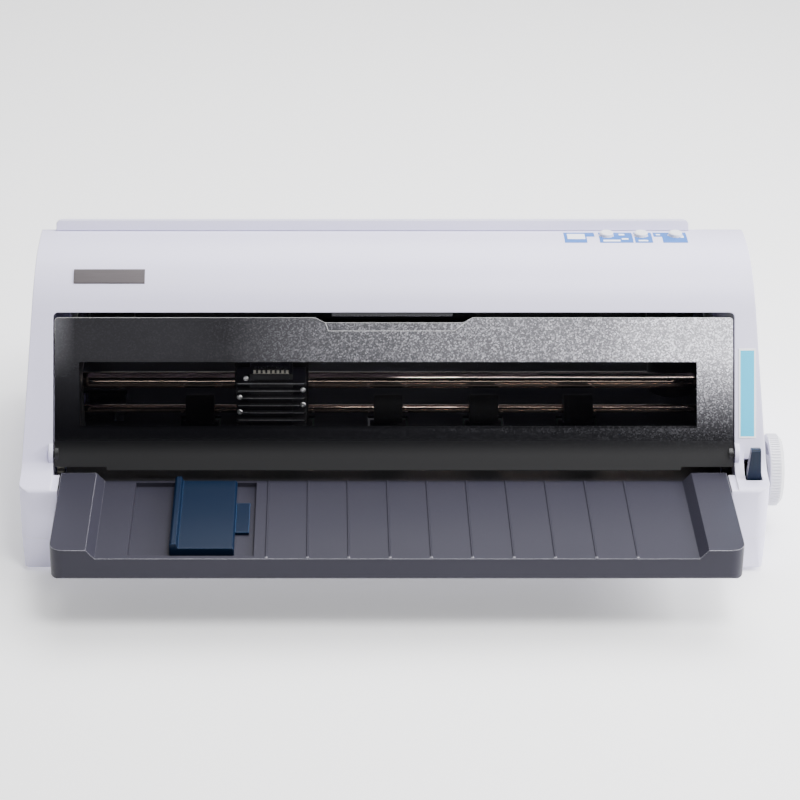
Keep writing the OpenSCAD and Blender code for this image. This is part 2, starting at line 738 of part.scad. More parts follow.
module paper_table() {
    z0 = table_z - table_t;
    bar_flange_t = 1.6;
    slot_half = platen_half + 0.5;
    slot_w = platen_w/2 + 0.5;
    gear_way = [rear_roller[0] + 2, rear_roller[0] + 42];
    color([0.25, 0.25, 0.28]) place() difference() {
        union() {
            block([-frame_x, tray_back + 0.7, z0], [frame_x, body_d - 24, table_z]);
            // Flanges that carry the platen bar and fasten to the side frames
            both_sides(frame_x - bar_flange_t, frame_x)
                translate([platen_y - 14, platen_low]) square([28, table_z - platen_low]);
            for (d = [-1, 1]) translate([0, platen_y + d*8, 0])
                block([-frame_x, -0.8, platen_low + 4], [frame_x, 0.8, table_z - eps]);
        }
        block([-slot_half, platen_y - slot_w, z0 - 12], [slot_half, platen_y + slot_w, table_z + 1]);
        // Room for the feed motor
        block([-frame_x - 1, gear_way[0], z0 - 1], [30.4 - frame_x, gear_way[1], table_z + 1]);
        for (x = roller_places) translate([x, 0, 0]) {
            for (q = [[front_roller[0], 9], [rear_roller[0], 8]])
                block([-roller_w/2 - 1.5, q[0] - q[1], z0 - 1], [roller_w/2 + 1.5, q[0] + q[1], table_z + 1]);
        }
    }
}

// ---------- paper feed ----------

module feed_roller(at, r, x0, x1) {
    place() {
        color("silver") rod_x(x0, x1, at[0], at[1], feed_shaft_d/2);
        for (x = roller_places) color([0.15, 0.15, 0.16])
            rod_x(x - roller_w/2, x + roller_w/2, at[0], at[1], r);
    }
}

module front_feed_roller() { feed_roller(front_roller, front_roller_r, gear_x0 - 0.3, knob_x0 + 4); }
module rear_feed_roller() { feed_roller(rear_roller, rear_roller_r, gear_x0 - 0.3, frame_x + frame_t + 2); }

module pinch_rollers(at, r) {
    place() {
        color("silver") rod_x(-frame_x - frame_t - 0.3, frame_x + frame_t + 1.5, at[0], at[1], pinch_shaft_r);
        for (x = roller_places) color([0.1, 0.1, 0.11]) rod_x(x - pinch_w/2, x + pinch_w/2, at[0], at[1], r);
    }
}

module front_pinch_rollers() { pinch_rollers(front_pinch, front_pinch_r); }
module rear_pinch_rollers() { pinch_rollers(rear_pinch, rear_pinch_r); }

module front_feed_gear() { gear(front_roller, front_teeth, front_turn, feed_shaft_d/2, 5); }
module rear_feed_gear() { gear(rear_roller, rear_teeth, rear_turn, feed_shaft_d/2, 4); }
module idler_gear() { gear(idler_at, idler_teeth, idler_turn, idler_pin_r + run, 4); }

module motor_pinion() {
    gear(pinion_at, pinion_teeth, pinion_turn, 0);
    color("silver") place() rod_x(gear_x0 + 0.5, 12 - frame_x, pinion_at[0], pinion_at[1], pinion_shaft_r);
}

feed_motor_r = 13.5;

module feed_motor() {
    color("dimgray") place() difference() {
        union() {
            rod_x(-frame_x, 24 - frame_x, pinion_at[0], pinion_at[1], feed_motor_r);
            along_x(-frame_x, 2 - frame_x) translate(pinion_at) round_rect([-9, -22], [9, 22], 5);
        }
        rod_x(-frame_x - 1, 30 - frame_x, pinion_at[0], pinion_at[1], pinion_shaft_r + run);
    }
}

module feed_knob() {
    r = knob_d/2;
    rib = 0.6;
    color("whitesmoke") place() translate([knob_x0, front_roller[0], front_roller[1]]) {
        rotate([0, 90, 0]) rotate_extrude($fn = 96)
            polygon([[feed_shaft_d/2, 0], [9, 0], [9, knob_t - 4], [r - 6, knob_t - 4], [r - 5, 0],
                [r - rib, 0], [r - rib, knob_t - 2], [r - rib - 2, knob_t], [8, knob_t],
                [7, knob_t - 1], [0, knob_t - 1], [0, 4], [feed_shaft_d/2, 4]]);
        for (i = [0:knob_ribs - 1]) rotate([360*i/knob_ribs, 0, 0]) translate([0.6, r - rib - 0.8, -0.45])
            cube([knob_t - 3, rib + 0.8, 0.9]);
    }
}

// ---------- print carriage ----------

module carriage_shaft() {
    color("silver") place()
        rod_x(-frame_x - frame_t, frame_x + frame_t, shaft_y, shaft_z, carriage_shaft_d/2);
}

module belt_rail() {
    color("lightgray") place() difference() {
        union() {
            block([-frame_x, rail_y[0], rail_z], [frame_x, rail_y[1], rail_z + rail_t]);
            block([-frame_x, rail_y[1] - 1.6, rail_z - 12], [frame_x, rail_y[1], rail_z + eps]);
        }
        for (s = [-1, 1]) translate([s*pulley_x, pulley_y, rail_z - 1])
            cylinder(h = rail_t + 2, r = pulley_shaft_r + run);
    }
}

belt_z = rail_z + 5.2;
belt_w = 6;
belt_t = 1.4;
belt_gap = 0.35;
pulley_shaft_r = 2;
flange_t = 1.1;

module carriage_belt() {
    r = pulley_r + belt_gap;
    color([0.12, 0.12, 0.12]) place() translate([0, pulley_y, belt_z]) difference() {
        linear_extrude(belt_w) union() {
            for (s = [-1, 1]) translate([s*pulley_x, 0]) circle(r + belt_t);
            translate([-pulley_x, -r - belt_t]) square([2*pulley_x, 2*(r + belt_t)]);
        }
        translate([0, 0, -1]) linear_extrude(belt_w + 2) union() {
            for (s = [-1, 1]) translate([s*pulley_x, 0]) circle(r);
            translate([-pulley_x, -r]) square([2*pulley_x, 2*r]);
        }
    }
}

module pulley(s, shaft_z0) {
    color("silver") place() translate([s*pulley_x, pulley_y, 0]) {
        translate([0, 0, belt_z]) cylinder(h = belt_w, r = pulley_r);
        for (z = [belt_z - flange_t - seat, belt_z + belt_w + seat])
            translate([0, 0, z]) cylinder(h = flange_t, r = pulley_r + 2.5);
        translate([0, 0, belt_z - seat - 0.1]) cylinder(h = belt_w + 2*seat + 0.2, r = pulley_r - 1);
        translate([0, 0, shaft_z0]) cylinder(h = belt_z - shaft_z0, r = pulley_shaft_r);
    }
}

module motor_pulley() { pulley(1, rail_z - 3); }
module idler_pulley() { pulley(-1, rail_z - 3); }

module carriage_motor() {
    color("dimgray") place() translate([pulley_x, pulley_y, 0]) difference() {
        union() {
            translate([0, 0, rail_z - 30]) cylinder(h = 30, r = 16);
            translate([-18, -6, rail_z - 1.5]) cube([36, 12, 1.5]);
        }
        translate([0, 0, rail_z - 4]) cylinder(h = 5, r = pulley_shaft_r + run);
    }
}

head_y0 = shaft_y - 34;
head_y1 = shaft_y - 12;
head_z0 = shaft_z - 18;
head_z1 = shaft_z + 24;
fin_t = 1.6;
fin_pitch = 5;
nose_z = ribbon_z + 0.6;
clamp_half = 5;

module carriage() {
    x0 = carriage_x - carriage_w/2;
    x1 = carriage_x + carriage_w/2;
    clamp_y = pulley_y - pulley_r - belt_gap - belt_t - seat;
    shoe_z = rail_z + rail_t + seat;
    color([0.16, 0.16, 0.17]) place() difference() {
        union() {
            rod_x(x0, x1, shaft_y, shaft_z, bush_r);
            // Plate that holds the print head, and its webs to the bush
            block([x0, head_y1, shaft_z - 6], [x1, head_y1 + 3, shaft_z + 18]);
            block([x0 + 4, head_y1, shaft_z - 2], [x1 - 4, shaft_y, shaft_z + 2]);
            block([x0 + 6, head_y1, shaft_z + 8], [x1 - 6, shaft_y + 8, rail_z]);
            block([x0 + 10, shaft_y + 4, shaft_z + 8], [x1 - 10, shaft_y + 8, shoe_z + 1.7]);
            // Shoe over the belt rail and clamp around the belt
            translate([carriage_x, shaft_y, 0]) {
                block([-clamp_half, 4, shoe_z], [clamp_half, 22, belt_z - seat]);
                block([-clamp_half, 6, shoe_z], [clamp_half, clamp_y - shaft_y, belt_z + belt_w + 2]);
                block([-clamp_half, 6, belt_z + belt_w + seat], [clamp_half, 22, belt_z + belt_w + 2]);
            }
        }
        rod_x(x0 - 1, x1 + 1, shaft_y, shaft_z, carriage_shaft_d/2 + run);
    }
}

module print_head() {
    core_half = 13;
    fin_half = 21;
    plug_half = 11;
    color([0.1, 0.1, 0.11]) place() translate([carriage_x, 0, 0]) {
        block([-core_half, head_y0 + 3, head_z0], [core_half, head_y1, head_z1 - 4]);
        for (i = [0:fin_count - 1]) translate([0, 0, head_z0 + 2 + i*fin_pitch])
            block([-fin_half, head_y0, 0], [fin_half, head_y1 - 1, fin_t]);
        // Nose over the platen
        along_x(-8, 8) polygon([[platen_y - 7, head_z0 + eps], [platen_y - 2.5, nose_z + 1.1],
            [platen_y - 2.5, nose_z], [platen_y + 2.5, nose_z], [platen_y + 2.5, nose_z + 1.1],
            [platen_y + 7, head_z0 + eps]]);
        // Comb connector
        block([-plug_half, platen_y - 8, head_z1 - 5], [plug_half, platen_y + 2, head_z1 - 1]);
        for (i = [0:7]) translate([i*2.6 - 10, platen_y - 7, head_z1 - 2]) cube([1.4, 2, 2]);
    }
}

module ribbon_cartridge() {
    z0 = rail_z + rail_t;
    box_half = frame_x - 36.4;
    arm = [frame_x - 7.9, frame_x - 1.4];
    box_y = [pulley_y + pulley_r + 3, pulley_y + pulley_r + 34];
    arm_z = [z0 + 1, z0 + 11];
    color([0.13, 0.13, 0.14]) place() {
        translate([0, 0, z0]) linear_extrude(16) round_rect([-box_half, box_y[0]], [box_half, box_y[1]], 6);
        // Arms that reach round the print head's way and hold the ribbon
        mirrored() {
            block([box_half - 10, box_y[1] - 14, arm_z[0]], [arm[1], box_y[1] - 4, arm_z[1]]);
            block([arm[0], platen_y - 8, arm_z[0]], [arm[1], box_y[1] - 4, arm_z[1]]);
            block([arm[0], platen_y - 8, ribbon_z - 0.6], [arm[1], platen_y + 9, z0 + 2]);
        }
        translate([-60, box_y[1] - 16, z0 + 15]) cylinder(h = 5, r = 8);
    }
}

module print_ribbon() {
    half = frame_x - 7.9;
    color([0.06, 0.06, 0.07]) place()
        block([-half, platen_y - 6, ribbon_z], [half, platen_y + 7, ribbon_z + 0.3]);
}

// ---------- controls, electronics and trim ----------

key_seat_z = top_z - wall - 3.6;

module button(i) {
    x = button_x + i*button_pitch;
    color("white") place() translate([x, button_y, 0]) {
        translate([0, 0, top_z - 8]) cylinder(h = 9.4, r = button_d/2);
        translate([0, 0, top_z + 1.3]) cylinder(h = 0.5, r1 = button_d/2, r2 = button_d/2 - 0.6);
        translate([0, 0, key_seat_z - seat]) cylinder(h = 1.6, r = button_d/2 + 1.4);
    }
}

module pause_button() { button(0); }
module feed_button() { button(1); }
module load_button() { button(2); }

module control_panel() {
    panel_x = [button_x - 33.3, button_x + 53.6];
    board_t = 1.6;
    board_top = top_z - 10;
    color([0.31, 0.56, 0.82]) place() {
        block([panel_x[0], button_y - 13, board_top - board_t], [panel_x[1], button_y + 7, board_top]);
        for (x = [panel_x[0] + 3, panel_x[1] - 3]) translate([x, button_y - 4, board_top - 0.5])
            cylinder(h = 10.4 - wall - 0.6, r = 2);
        for (i = [0:2]) translate([button_x + i*button_pitch, button_y, board_top - 0.5])
            cylinder(h = 2.5 - button_travel - seat, r = 2.4);
    }
}

// Film on the case skin, t thick, between two distances along x and within a (y, z) box
module skin_film(t, x0, x1, a, b) {
    intersection() {
        along_x(x0, x1) difference() {
            polygon(inset(case_side, -t));
            polygon(inset(case_side, 0));
        }
        block([x0, a[0], a[1]], [x1, b[0], b[1]]);
    }
}

module nameplate() {
    plate_w = 42.5;
    plate_x = 31 - side_x;
    plate_y = [cover_top_y + 10.2, cover_top_y + 17.4];
    color([0.49, 0.47, 0.44]) place()
        skin_film(0.6, plate_x, plate_x + plate_w, [plate_y[0], cover_top_z - 10], [plate_y[1], top_z + 5]);
}

module side_label() {
    label_z = [shoulder_z + 18, shoulder_z + 65];
    label_y = [slope_foot[0] - 1.3, cover_top_y + 4];
    color([0.56, 0.86, 0.92]) place()
        skin_film(0.3, side_x - 16.5, side_x - 6.5, [label_y[0], label_z[0]], [label_y[1], label_z[1]]);
}

lever_at = [16, shoulder_z - 17];
lever_pin_r = 2;

module release_lever() {
    half = (lever_x1 - lever_x0)/2 - 1;
    y = lever_at[0];
    z = lever_at[1];
    color([0.12, 0.23, 0.4]) place() {
        translate([(lever_x0 + lever_x1)/2, 0, 0]) intersection() {
            along_x(-half, half) polygon([[y - 2.8, z], [y + 2.8, z], [y + 2.4, z + 18], [y + 1.2, z + 36],
                [y - 2.6, z + 37.2], [y - 3.8, z + 36], [y - 3.4, z + 18]]);
            along_y(y - 16, y + 24) polygon([[-half, z - 10], [half, z - 10], [half, z + 20],
                [half - 1.3, z + 38], [1.3 - half, z + 38], [-half, z + 20]]);
        }
        rod_x(lever_x0 + 1, lever_x1 - 1, y, z, 4);
        rod_x(lever_x0 - 1.8, lever_x1 + 0.8, y, z, lever_pin_r);
    }
}

module lever_bracket() {
    y = [lever_at[0] - 8, lever_at[0] + 14];
    low = lever_at[1] - 9;
    top = lever_at[1] + 6;
    edge = side_x - wall;
    color("silver") place() difference() {
        union() {
            block([opening_half + wall, y[0], low], [edge, y[1], low + 2]);
            block([lever_x0 - 2, y[0], low + 1], [lever_x0 - 0.4, y[1], top]);
            block([lever_x1 + 0.2, y[0], low + 1], [edge, y[1], top]);
        }
        rod_x(lever_x0 - 3, side_x, lever_at[0], lever_at[1], lever_pin_r + run);
    }
}

// Board on posts, with chips, capacitors and a socket
module main_board() {
    post_h = 5;
    board_t = 1.6;
    y = [rear_roller[0] + 12, frame_back - 3];
    z = pan_z + pan_t + post_h;
    color("darkgreen") place() {
        for (x = [10, 150], q = [y[0] + 6, y[1] - 6])
            translate([x, q, z - post_h]) cylinder(h = post_h, r = 3);
        block([2, y[0], z], [158, y[1], z + board_t]);
        translate([40, y[0] + 28, z + 1]) cube([30, 25, 4]);
        translate([90, y[0] + 18, z + 1]) cube([30, 20, 3]);
        for (i = [0:3]) translate([92 + i*14, y[1] - 26, z + 1]) cylinder(h = 14, r = 5);
        translate([10, y[0] + 10, z + 1]) cube([10, 28, 16]);
    }
}

// Board with its transformer, capacitors and heat sink
module power_supply() {
    y = frame_back - 59;
    z = pan_z + pan_t;
    color("darkkhaki") place() translate([41.4 - frame_x, y, z]) {
        cube([115, 54, 1.5]);
        translate([5, 4, 1]) cube([35, 40, 29]);
        for (i = [0:2]) translate([57 + i*20, 14, 1]) cylinder(h = 26, r = 7);
        translate([49, 30, 1]) cube([56, 4, 27]);
    }
}

module power_inlet() {
    middle = (inlet_x[0] + inlet_x[1])/2;
    half = (inlet_x[1] - inlet_x[0])/2 - seat;
    color([0.15, 0.15, 0.16]) place() translate([middle, body_d, port_z]) difference() {
        block([-half, -22, seat], [half, -0.5, inlet_h - seat]);
        block([3.2 - half, -16, 3], [half - 3.2, 1, inlet_h - 3]);
    }
    // Three pins
    color("silver") place() for (q = [[-6, 12], [0, 7.5], [6, 12]])
        translate([middle + q[0], body_d, port_z + q[1]]) block([-1, -16.5, -2.5], [1, -4, 2.5]);
}

module interface_ports() {
    color("silver") place() translate([ports_x[0], body_d, port_z]) difference() {
        union() {
            block([1, -24, 0.5], [38, -0.5, ports_h - 1]);
            block([46, -20, 0.5], [60, -0.5, ports_h - 1.5]);
        }
        block([4, -8, 3], [35, 1, ports_h - 3.5]);
        block([48, -8, 2.5], [58, 1, ports_h - 3.5]);
    }
}

// Rocker that tips about an upright pivot behind the left wall
module power_switch() {
    half_y = switch_size[0]/2 - 1.4;
    half_z = switch_size[1]/2 - 0.3;
    color([0.1, 0.1, 0.1]) place() {
        translate([-side_x, switch_y, switch_z - half_z]) linear_extrude(2*half_z)
            polygon([[1.9, -half_y], [1.3, 0], [0.3, half_y], [7.5, half_y - 1.6], [7.5, 1.6 - half_y]]);
        translate([switch_pivot_x, switch_y, switch_z - 7.5]) cylinder(h = 15, r = switch_pivot_r);
    }
}

module case_screws() {
    head_r = 3.2;
    screw_r = 1.5;
    color("silver") place() for (x = [22 - side_x, side_x - 22], y = [14, body_d - 14])
        translate([x, y, foot_h + wall]) {
            cylinder(h = 2, r = head_r);
            translate([0, 0, 1.9]) cylinder(h = 14, r = screw_r);
        }
}

lower_case();
upper_case();
sheet_tray();
feet();
front_cover();
rear_cover();
edge_guide();
control_panel();
nameplate();
side_label();
pause_button();
feed_button();
load_button();
release_lever();
lever_bracket();
left_side_frame();
right_side_frame();
frame_pan();
platen_bar();
paper_table();
carriage_shaft();
belt_rail();
carriage();
print_head();
ribbon_cartridge();
print_ribbon();
carriage_belt();
carriage_motor();
motor_pulley();
idler_pulley();
feed_knob();
front_feed_roller();
rear_feed_roller();
front_pinch_rollers();
rear_pinch_rollers();
front_feed_gear();
rear_feed_gear();
idler_gear();
motor_pinion();
feed_motor();
main_board();
power_supply();
power_inlet();
interface_ports();
power_switch();
case_screws();
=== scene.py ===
import math

import bmesh
import bpy
from bpy.props import FloatProperty, FloatVectorProperty, PointerProperty
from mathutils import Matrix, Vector
from mathutils.bvhtree import BVHTree


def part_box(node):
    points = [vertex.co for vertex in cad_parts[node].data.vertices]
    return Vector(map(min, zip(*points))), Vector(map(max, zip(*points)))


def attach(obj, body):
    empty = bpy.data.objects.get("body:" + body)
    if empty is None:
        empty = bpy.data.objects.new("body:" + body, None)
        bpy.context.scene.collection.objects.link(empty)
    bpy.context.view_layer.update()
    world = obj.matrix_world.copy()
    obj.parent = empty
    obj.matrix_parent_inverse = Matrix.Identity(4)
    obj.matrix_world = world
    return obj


bl_info = {
    "name": "Flatbed Dot Matrix Printer",
    "version": (1, 0, 0),
    "blender": (4, 5, 0),
    "location": "View3D > Sidebar > Printer",
    "description": "Dresses the printer's solids with mouldings, prints and mechanism detail",
    "category": "Object",
}

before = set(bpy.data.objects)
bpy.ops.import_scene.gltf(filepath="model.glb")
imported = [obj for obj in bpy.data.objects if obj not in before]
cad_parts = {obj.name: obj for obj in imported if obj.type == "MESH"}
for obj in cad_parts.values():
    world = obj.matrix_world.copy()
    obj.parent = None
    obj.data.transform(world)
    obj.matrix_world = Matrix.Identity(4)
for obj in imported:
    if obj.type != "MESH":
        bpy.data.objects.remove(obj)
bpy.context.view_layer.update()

MM = 0.001
IMAGE_SIDE = 800
EDGE_SAMPLES = 6
LOW, HIGH = (Vector(corner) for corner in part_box("lower_case"))
MID_X = (LOW.x + HIGH.x) / 2
FRONT_Y = LOW.y

# Colours that no setting changes
# Painted highlights: colours laid on the upper edges of the mouldings, where their rounding
# catches light
LIT_WHITE = (0.96, 0.95, 0.98)
LIT_SLATE = (0.62, 0.61, 0.68)
LIT_BLUE = (0.05, 0.14, 0.32)
LIT_SMOKE = (0.95, 0.95, 0.96)
SPECKLE_WHITE = (0.86, 0.85, 0.93)
# Painted shade on the upper edges of the tray's ribs
RIB_PAINTED_SHADE = (0.01, 0.01, 0.014)
# Painted shade on the finger tab, set back behind the cover's notch
TAB_PAINTED_SHADE = (0.03, 0.03, 0.034)
RUBBER_BLACK = (0.016, 0.016, 0.017)
GROUND_STEEL = (0.8, 0.62, 0.53)

# Regions in printer millimetres
FINGER_TAB = (("X", -37.2, 35.2), ("Y", 60, 70), ("Z", 138.6, 140.9))
TRAY_FLOOR = (("X", -172, 181), ("Y", -66.5, 40))

# The cover's clear window in metres: across from the mid plane, and up from the table
WINDOW_X = (-0.1874, 0.1805)
WINDOW_Z = (0.0802, 0.115)


def spot(x, y, z):
    """A point given in millimetres from the body's mid plane, front face and table."""
    return Vector((MID_X + x * MM, FRONT_Y + y * MM, z * MM))


# ---------- settings ----------

def colour(name, description, default):
    return FloatVectorProperty(name=name, description=description, subtype="COLOR", size=3,
                               min=0, max=1, default=default)


def length(name, description, default):
    return FloatProperty(name=name, description=description, subtype="DISTANCE", unit="LENGTH",
                         min=0, default=default)


class PrinterFinishes(bpy.types.PropertyGroup):
    case_white: colour("Case", "Colour of the white mouldings", (0.72, 0.695, 0.9))
    tray_slate: colour("Tray", "Colour of the sheet tray", (0.026, 0.025, 0.037))
    guide_blue: colour("Guide", "Colour of the edge guide and lever", (0.001, 0.0075, 0.024))
    cover_smoke: colour("Cover", "Colour of the smoked cover", (0.003, 0.003, 0.004))
    print_blue: colour("Button field", "Colour of the printed button field", (0.02, 0.14, 0.5))
    label_cyan: colour("Side label", "Colour of the side label", (0.04, 0.5, 0.76))
    plate_brown: colour("Name plate", "Colour of the name plate", (0.11, 0.1, 0.105))


class PrinterSizes(bpy.types.PropertyGroup):
    edge_round: length("Edge rounding", "Rounding of the mouldings' edges", 0.9 * MM)
    print_lift: length("Print lift", "How far printed films stand off the case", 0.08 * MM)
    speckle: length("Speckle", "Size of the speckles printed on the smoked cover", 0.75 * MM)


# ---------- shader nodes ----------

def add_node(tree, kind, inputs=None, **settings):
    """A node with its settings, and its inputs linked to sockets or set to values."""
    node = tree.nodes.new(kind)
    for name, value in settings.items():
        setattr(node, name, value)
    for label, value in (inputs or {}).items():
        if isinstance(value, bpy.types.NodeSocket):
            tree.links.new(value, node.inputs[label])
        else:
            node.inputs[label].default_value = value
    return node


def maths(tree, operation, *values):
    node = add_node(tree, "ShaderNodeMath", dict(enumerate(values)), operation=operation)
    return node.outputs[0]


def ramp(tree, value, start, end, low=0, high=1, curve="LINEAR"):
    """Maps start..end to low..high, held at both ends."""
    limits = {"From Min": start, "From Max": end, "To Min": low, "To Max": high}
    node = add_node(tree, "ShaderNodeMapRange", {"Value": value, **limits},
                    interpolation_type=curve)
    return node.outputs[0]


def dot_product(tree, first, second):
    node = add_node(tree, "ShaderNodeVectorMath", {0: first, 1: second}, operation="DOT_PRODUCT")
    return node.outputs["Value"]


def scaled(tree, vector, factor):
    node = add_node(tree, "ShaderNodeVectorMath", {0: vector, "Scale": factor}, operation="SCALE")
    return node.outputs[0]


def noise(tree, vector, scale, detail):
    node = add_node(tree, "ShaderNodeTexNoise",
                    {"Vector": vector, "Scale": scale, "Detail": detail})
    return node.outputs["Fac"]


def object_point(tree):
    return add_node(tree, "ShaderNodeTexCoord").outputs["Object"]


def axes_of(tree, vector):
    return add_node(tree, "ShaderNodeSeparateXYZ", {0: vector}).outputs


def mix_colour(tree, low, high, mask, name="Blend"):
    """Blends two colours, each a value or a socket, by a mask socket."""
    first, second = (end if isinstance(end, bpy.types.NodeSocket) else (*end, 1)
                     for end in (low, high))
    blend = add_node(tree, "ShaderNodeMix", name=name, data_type="RGBA",
                     inputs={"A": first, "B": second, "Factor": mask})
    return blend.outputs["Result"]


def region(tree, *limits):
    """A mask of the points whose x, y or z, in printer millimetres, lie between limits."""
    axes = axes_of(tree, object_point(tree))
    mask = None
    for axis, low, high in limits:
        at = "XYZ".index(axis)
        for operation, limit in (("GREATER_THAN", low), ("LESS_THAN", high)):
            test = maths(tree, operation, axes[axis], spot(limit, limit, limit)[at])
            mask = test if mask is None else maths(tree, "MULTIPLY", mask, test)
    return mask


# ---------- shader groups ----------

def shared_group(name, inputs, outputs, build):
    """A shader group that build(tree, its inputs) fills on first use; it returns the outputs."""
    if name in bpy.data.node_groups:
        return bpy.data.node_groups[name]
    tree = bpy.data.node_groups.new(name, "ShaderNodeTree")
    for label, (kind, value) in inputs.items():
        socket = tree.interface.new_socket(label, in_out="INPUT", socket_type=kind)
        socket.default_value = value
    for label, kind in outputs.items():
        tree.interface.new_socket(label, in_out="OUTPUT", socket_type=kind)
    source = tree.nodes.new("NodeGroupInput").outputs
    sink = tree.nodes.new("NodeGroupOutput").inputs
    for label, socket in build(tree, source).items():
        tree.links.new(socket, sink[label])
    return tree


SURFACE = {"Colour": "NodeSocketColor", "Roughness": "NodeSocketFloat",
           "Height": "NodeSocketFloat"}


def grain_group():
    """Moulded grain: a fine height, and a slow drift of tone over the surface."""
    def build(tree, given):
        place = object_point(tree)
        fine = noise(tree, place, given["Grain Size"], 2)
        slow = noise(tree, place, 9, 4)
        darkest = maths(tree, "SUBTRACT", 1, given["Tone Drift"])
        tone = ramp(tree, slow, 0.3, 0.7, darkest)
        return {"Colour": scaled(tree, given["Colour"], tone),
                "Roughness": maths(tree, "MULTIPLY_ADD", fine, 0.12, given["Roughness"]),
                "Height": fine}

    inputs = {"Colour": ("NodeSocketColor", (0.8, 0.8, 0.8, 1)),
              "Grain Size": ("NodeSocketFloat", 900.0),
              "Tone Drift": ("NodeSocketFloat", 0.05),
              "Roughness": ("NodeSocketFloat", 0.45)}
    return shared_group("MouldedGrain", inputs, SURFACE, build)


def brushed_group():
    """Fine drawn lines along x, for ground shafts and sheet metal."""
    def build(tree, given):
        stretch = add_node(tree, "ShaderNodeMapping",
                           {"Vector": object_point(tree), "Scale": (12, 700, 700)})
        lines = noise(tree, stretch.outputs[0], 3, 3)
        tone = ramp(tree, lines, 0, 1, 0.78, 1.12)
        return {"Colour": scaled(tree, given["Colour"], tone),
                "Roughness": maths(tree, "MULTIPLY_ADD", lines, 0.2, given["Roughness"]),
                "Height": lines}

    inputs = {"Colour": ("NodeSocketColor", (0.6, 0.6, 0.6, 1)),
              "Roughness": ("NodeSocketFloat", 0.3)}
    return shared_group("DrawnLines", inputs, SURFACE, build)


def lit_edges_group():
    """A mask of the upper edges, where the rounding of a moulding catches light; the materials lay
    their painted highlight there.
    """
    def build(tree, given):
        rounded = add_node(tree, "ShaderNodeBevel", {"Radius": given["Width"]},
                           samples=EDGE_SAMPLES).outputs["Normal"]
        plain = add_node(tree, "ShaderNodeNewGeometry").outputs["True Normal"]
        turned = ramp(tree, dot_product(tree, rounded, plain), 0.98, 0.86)
        upward = ramp(tree, axes_of(tree, rounded)["Z"], 0.2, 0.55)
        return {"Mask": maths(tree, "MULTIPLY", turned, upward)}

    return shared_group("LitEdges", {"Width": ("NodeSocketFloat", 0.9 * MM)},
                        {"Mask": "NodeSocketFloat"}, build)


def lit_edges(tree, width):
    node = add_node(tree, "ShaderNodeGroup", node_tree=lit_edges_group())
    node.inputs["Width"].default_value = width
    return node.outputs["Mask"]


# ---------- materials ----------

def new_material(name):
    """A material with its node tree and its main shader."""
    material = bpy.data.materials.new(name)
    material.use_nodes = True
    return material, material.node_tree, material.node_tree.nodes["Principled BSDF"]


def material_with(group, name, tint, roughness, bump=0.02, metallic=0.0, coat=0.0, edge=0.0,
                  lit=None, specular=0.5, **values):
    """A material from a shader group, its sharp edges shaded round by edge, and a painted
    highlight of the colour lit laid on its upper edges.
    """
    material, tree, shader = new_material(name)
    effect = add_node(tree, "ShaderNodeGroup", node_tree=group)
    effect.inputs["Colour"].default_value = (*tint, 1)
    effect.inputs["Roughness"].default_value = roughness
    for label, value in values.items():
        effect.inputs[label.replace("_", " ")].default_value = value
    shader.inputs["Metallic"].default_value = metallic
    shader.inputs["Coat Weight"].default_value = coat
    shader.inputs["Specular IOR Level"].default_value = specular
    grain = add_node(tree, "ShaderNodeBump", {"Strength": bump, "Distance": 0.2 * MM,
                                              "Height": effect.outputs["Height"]})
    tree.links.new(grain.outputs["Normal"], shader.inputs["Normal"])
    tree.links.new(effect.outputs["Roughness"], shader.inputs["Roughness"])
    if edge:
        rounding = add_node(tree, "ShaderNodeBevel", {"Radius": edge}, samples=EDGE_SAMPLES)
        tree.links.new(rounding.outputs["Normal"], grain.inputs["Normal"])
    base = effect.outputs["Colour"]
    # A painted highlight: the upper edges take the colour lit
    if lit:
        base = mix_colour(tree, base, lit, lit_edges(tree, edge), "LitTint")
    tree.links.new(base, shader.inputs["Base Color"])
    return material


def repaint(material, tint, mask):
    """Lays another colour over a material where the mask is one."""
    tree = material.node_tree
    base = tree.nodes["Principled BSDF"].inputs["Base Color"]
    tree.links.new(mix_colour(tree, base.links[0].from_socket, tint, mask), base)


def moulding(name, tint, roughness=0.42, grain=900.0, bump=0.12, drift=0.04, **values):
    """Moulded plastic or rubber; grain is the grains per metre, drift how far the tone falls."""
    return material_with(grain_group(), name, tint, roughness, bump, Grain_Size=grain,
                         Tone_Drift=drift, **values)


def metal(name, tint, roughness=0.28, bump=0.04, **values):
    """Drawn or ground metal."""
    return material_with(brushed_group(), name, tint, roughness, bump, 1.0, **values)


# ---------- meshes ----------

def piece_from(name, build, body, material, bevel=0.0):
    """A new mesh piece that build(bm) fills, riding on a body."""
    mesh = bpy.data.meshes.new(name)
    bm = bmesh.new()
    build(bm)
    bmesh.ops.recalc_face_normals(bm, faces=bm.faces)
    bm.to_mesh(mesh)
    bm.free()
    piece = bpy.data.objects.new(name, mesh)
    bpy.context.scene.collection.objects.link(piece)
    mesh.materials.append(material)
    if bevel:
        soften(piece, bevel)
    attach(piece, body)


def soften(piece, width, segments=3):
    """Smooth shading with rounded edges wherever faces meet sharply."""
    mesh = piece.data
    for attribute in ("custom_normal", "sharp_edge"):
        if attribute in mesh.attributes:
            mesh.attributes.remove(mesh.attributes[attribute])
    mesh.polygons.foreach_set("use_smooth", [True] * len(mesh.polygons))
    weld = piece.modifiers.new("Join", "WELD")
    weld.merge_threshold = 0.005 * MM
    bevel = piece.modifiers.new("Round", "BEVEL")
    bevel.width = width
    bevel.segments = segments
    bevel.limit_method = "ANGLE"
    bevel.angle_limit = math.radians(32)
    bevel.harden_normals = True
    bevel.miter_outer = "MITER_ARC"


def add_box(bm, low, high):
    """A box between two corners in printer millimetres."""
    a, b = spot(*low), spot(*high)
    for vertex in bmesh.ops.create_cube(bm, size=1)["verts"]:
        vertex.co = Vector([a[i] if vertex.co[i] < 0 else b[i] for i in range(3)])


